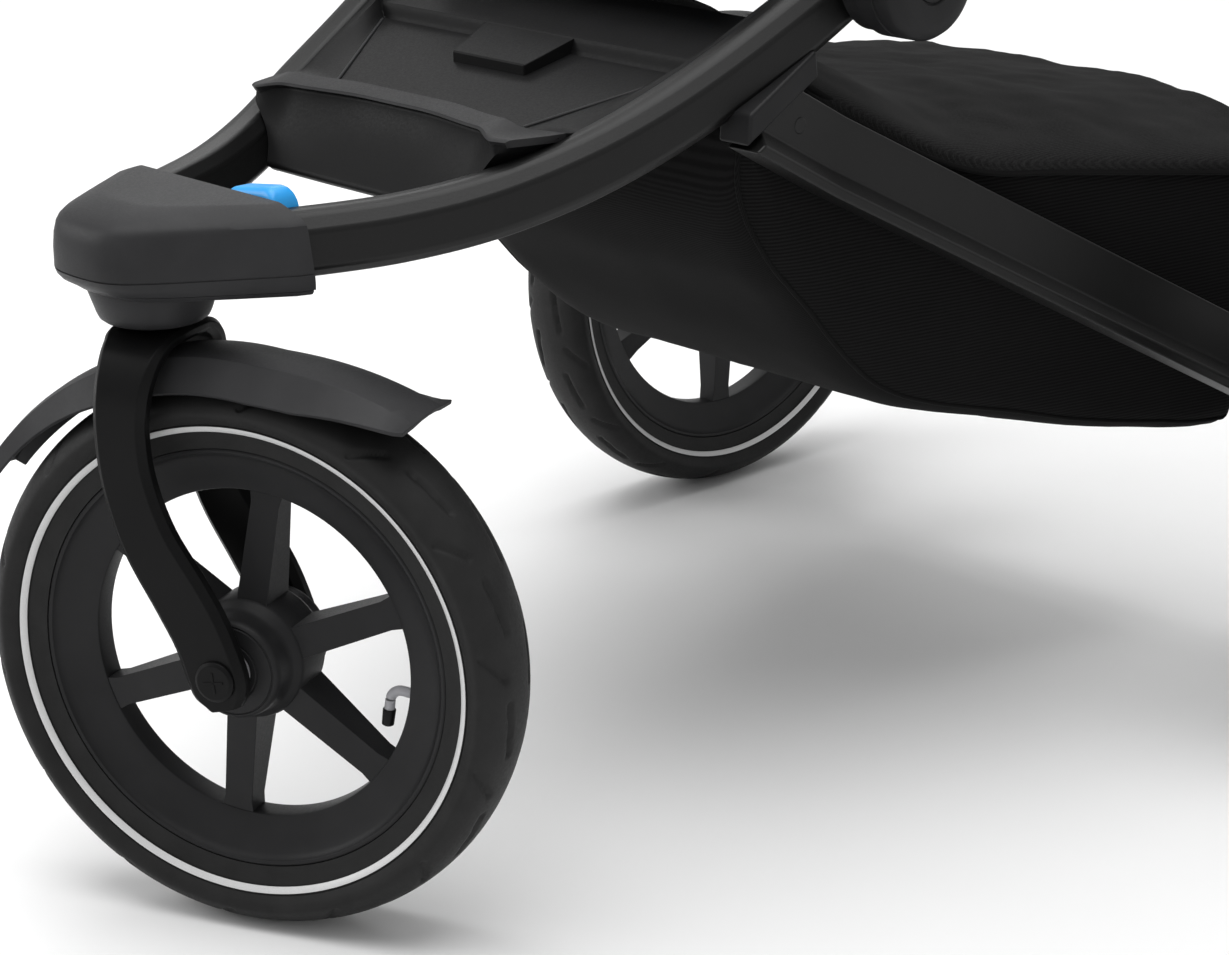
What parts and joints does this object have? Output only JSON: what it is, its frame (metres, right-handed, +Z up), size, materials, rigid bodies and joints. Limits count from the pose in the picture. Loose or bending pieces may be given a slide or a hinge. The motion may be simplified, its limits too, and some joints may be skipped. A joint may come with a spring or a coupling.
{
  "type": "jogging stroller",
  "caption": "Three-wheeled jogging stroller with a swivelling front wheel, padded reclining seat, sun canopy, cloth basket and a frame that folds at round hubs.",
  "frame": {"origin": "on the ground, midway along the stroller and on its centre plane", "axes": "+Z up, -Y towards the front wheel, +X to the stroller's left side"},
  "size_m": [0.721, 1.0394, 1.0822],
  "materials": {
    "moulded_plastic": "fine satin texture",
    "frame_paint": "satin black",
    "tyre": "satin, with a grey reflective ring",
    "rubber": "matte",
    "steel": "bright",
    "blue_plastic": "satin",
    "foam_grip": "soft foam",
    "black_fabric": "ribbed weave",
    "heather_fabric": "heather weave",
    "webbing": "woven strap"
  },
  "bodies": {
    "chassis": {"nose_housing": "moulded_plastic", "nose_lower_cover": "moulded_plastic", "front_tube_left": "frame_paint", "front_tube_right": "frame_paint", "hub_base_left": "moulded_plastic", "hub_base_right": "moulded_plastic", "leg_bracket_left": "moulded_plastic", "leg_bracket_right": "moulded_plastic", "footrest": "moulded_plastic", "seat_cross_tube": "frame_paint", "seat_cushion": "black_fabric", "harness_buckle": "moulded_plastic", "basket": "black_fabric", "basket_cover": "heather_fabric"},
    "fork": {"fork": "moulded_plastic", "fork_stem": "steel", "front_axle": "steel", "front_fender": "moulded_plastic"},
    "front_wheel": {"front_rim": "moulded_plastic", "front_tyre": "tyre", "front_inner_tube": "rubber", "front_bearing": "steel", "front_valve": "steel"},
    "swivel_lock": {"swivel_lock_lever": "blue_plastic"},
    "upper_frame": {"upper_tube_left": "frame_paint", "upper_tube_right": "frame_paint", "hub_cover_left": "moulded_plastic", "hub_cover_right": "moulded_plastic", "handle_pivot_left": "moulded_plastic", "handle_pivot_right": "moulded_plastic", "canopy_rear": "black_fabric"},
    "handlebar": {"handlebar": "frame_paint", "handlebar_grip": "foam_grip"},
    "seat_back": {"seat_back": "black_fabric", "seat_back_frame": "frame_paint", "shoulder_strap_left": "webbing", "shoulder_strap_right": "webbing"},
    "canopy_mid": {"canopy_mid": "black_fabric"},
    "canopy_visor": {"canopy_visor": "black_fabric"},
    "rear_frame": {"rear_leg_left": "frame_paint", "rear_leg_right": "frame_paint", "rear_axle_tube": "frame_paint", "rear_axle": "steel", "axle_bracket_left": "moulded_plastic", "axle_bracket_right": "moulded_plastic"},
    "brake_pedal": {"brake_pedal": "moulded_plastic"},
    "brake_pin_left": {"brake_pin_left": "steel"},
    "brake_pin_right": {"brake_pin_right": "steel"},
    "rear_wheel_left": {"rear_left_rim": "moulded_plastic", "rear_left_tyre": "tyre", "rear_left_inner_tube": "rubber", "rear_left_bearing": "steel"},
    "rear_wheel_right": {"rear_right_rim": "moulded_plastic", "rear_right_tyre": "tyre", "rear_right_inner_tube": "rubber", "rear_right_bearing": "steel"},
    "release_button_left": {"release_button_left": "blue_plastic"},
    "release_button_right": {"release_button_right": "blue_plastic"},
    "fold_release": {"fold_release_lever": "blue_plastic"},
    "buckle_button": {"buckle_button": "moulded_plastic"}
  },
  "joints": [
    {"name": "frame_fold", "type": "hinge", "parent": "chassis", "child": "upper_frame", "pos_m": [0, -0.08285, 0.511], "axis": [1, 0, 0], "range_deg": [0, 130]},
    {"name": "rear_leg_fold", "type": "hinge", "parent": "chassis", "child": "rear_frame", "pos_m": [0, -0.13105, 0.4258], "axis": [1, 0, 0], "range_deg": [0, 30]},
    {"name": "fork_swivel", "type": "hinge", "parent": "chassis", "child": "fork", "pos_m": [0, -0.45585, 0.35], "axis": [0, 0, 1], "continuous": true},
    {"name": "front_wheel_spin", "type": "hinge", "parent": "fork", "child": "front_wheel", "pos_m": [0.04886, -0.43287, 0.1585], "axis": [0.4256, -0.9049, 0], "continuous": true},
    {"name": "rear_wheel_left_spin", "type": "hinge", "parent": "rear_frame", "child": "rear_wheel_left", "pos_m": [0.322, 0.31115, 0.1875], "axis": [1, 0, 0], "continuous": true},
    {"name": "rear_wheel_right_spin", "type": "hinge", "parent": "rear_frame", "child": "rear_wheel_right", "pos_m": [-0.322, 0.31115, 0.1875], "axis": [1, 0, 0], "continuous": true},
    {"name": "seat_recline", "type": "hinge", "parent": "upper_frame", "child": "seat_back", "pos_m": [0, -0.01339, 0.58293], "axis": [-1, 0, 0], "range_deg": [0, 25]},
    {"name": "handlebar_angle", "type": "hinge", "parent": "upper_frame", "child": "handlebar", "pos_m": [0, 0.33394, 0.9426], "axis": [1, 0, 0], "range_deg": [-60, 40]},
    {"name": "canopy_open", "type": "hinge", "parent": "upper_frame", "child": "canopy_mid", "pos_m": [0, 0.21585, 0.82032], "axis": [-1, 0, 0], "range_deg": [0, 28]},
    {"name": "canopy_visor_open", "type": "hinge", "parent": "canopy_mid", "child": "canopy_visor", "pos_m": [0, 0.21585, 0.82032], "axis": [-1, 0, 0], "range_deg": [-28, 0]},
    {"name": "swivel_lock", "type": "hinge", "parent": "chassis", "child": "swivel_lock", "pos_m": [0.03375, -0.41615, 0.4089], "axis": [1, 0, 0], "range_deg": [0, 20]},
    {"name": "brake_pedal", "type": "hinge", "parent": "rear_frame", "child": "brake_pedal", "pos_m": [-0.15, 0.31115, 0.1875], "axis": [-1, 0, 0], "range_deg": [0, 25]},
    {"name": "brake_pin_left", "type": "slide", "parent": "rear_frame", "child": "brake_pin_left", "axis": [1, 0, 0], "range_m": [0, 0.0081]},
    {"name": "brake_pin_right", "type": "slide", "parent": "rear_frame", "child": "brake_pin_right", "axis": [-1, 0, 0], "range_m": [0, 0.0081]},
    {"name": "release_button_left", "type": "slide", "parent": "rear_wheel_left", "child": "release_button_left", "axis": [-1, 0, 0], "range_m": [0, 0.004], "stiffness_N_per_m": 400, "springref_m": -0.003},
    {"name": "release_button_right", "type": "slide", "parent": "rear_wheel_right", "child": "release_button_right", "axis": [1, 0, 0], "range_m": [0, 0.004], "stiffness_N_per_m": 400, "springref_m": -0.003},
    {"name": "fold_release", "type": "hinge", "parent": "chassis", "child": "fold_release", "pos_m": [0, -0.07785, 0.498], "axis": [-1, 0, 0], "range_deg": [0, 15], "stiffness_Nm_per_rad": 0.4, "springref_deg": -14.32},
    {"name": "buckle_button", "type": "slide", "parent": "chassis", "child": "buckle_button", "axis": [0, 0, -1], "range_m": [0, 0.002], "stiffness_N_per_m": 400, "springref_m": -0.002}
  ],
  "couplings": [
    {"joint": "rear_leg_fold", "follows": "frame_fold", "ratio": 0.23077},
    {"joint": "brake_pin_left", "follows": "brake_pedal", "m_per_rad": 0.01834},
    {"joint": "brake_pin_right", "follows": "brake_pedal", "m_per_rad": 0.01834}
  ]
}
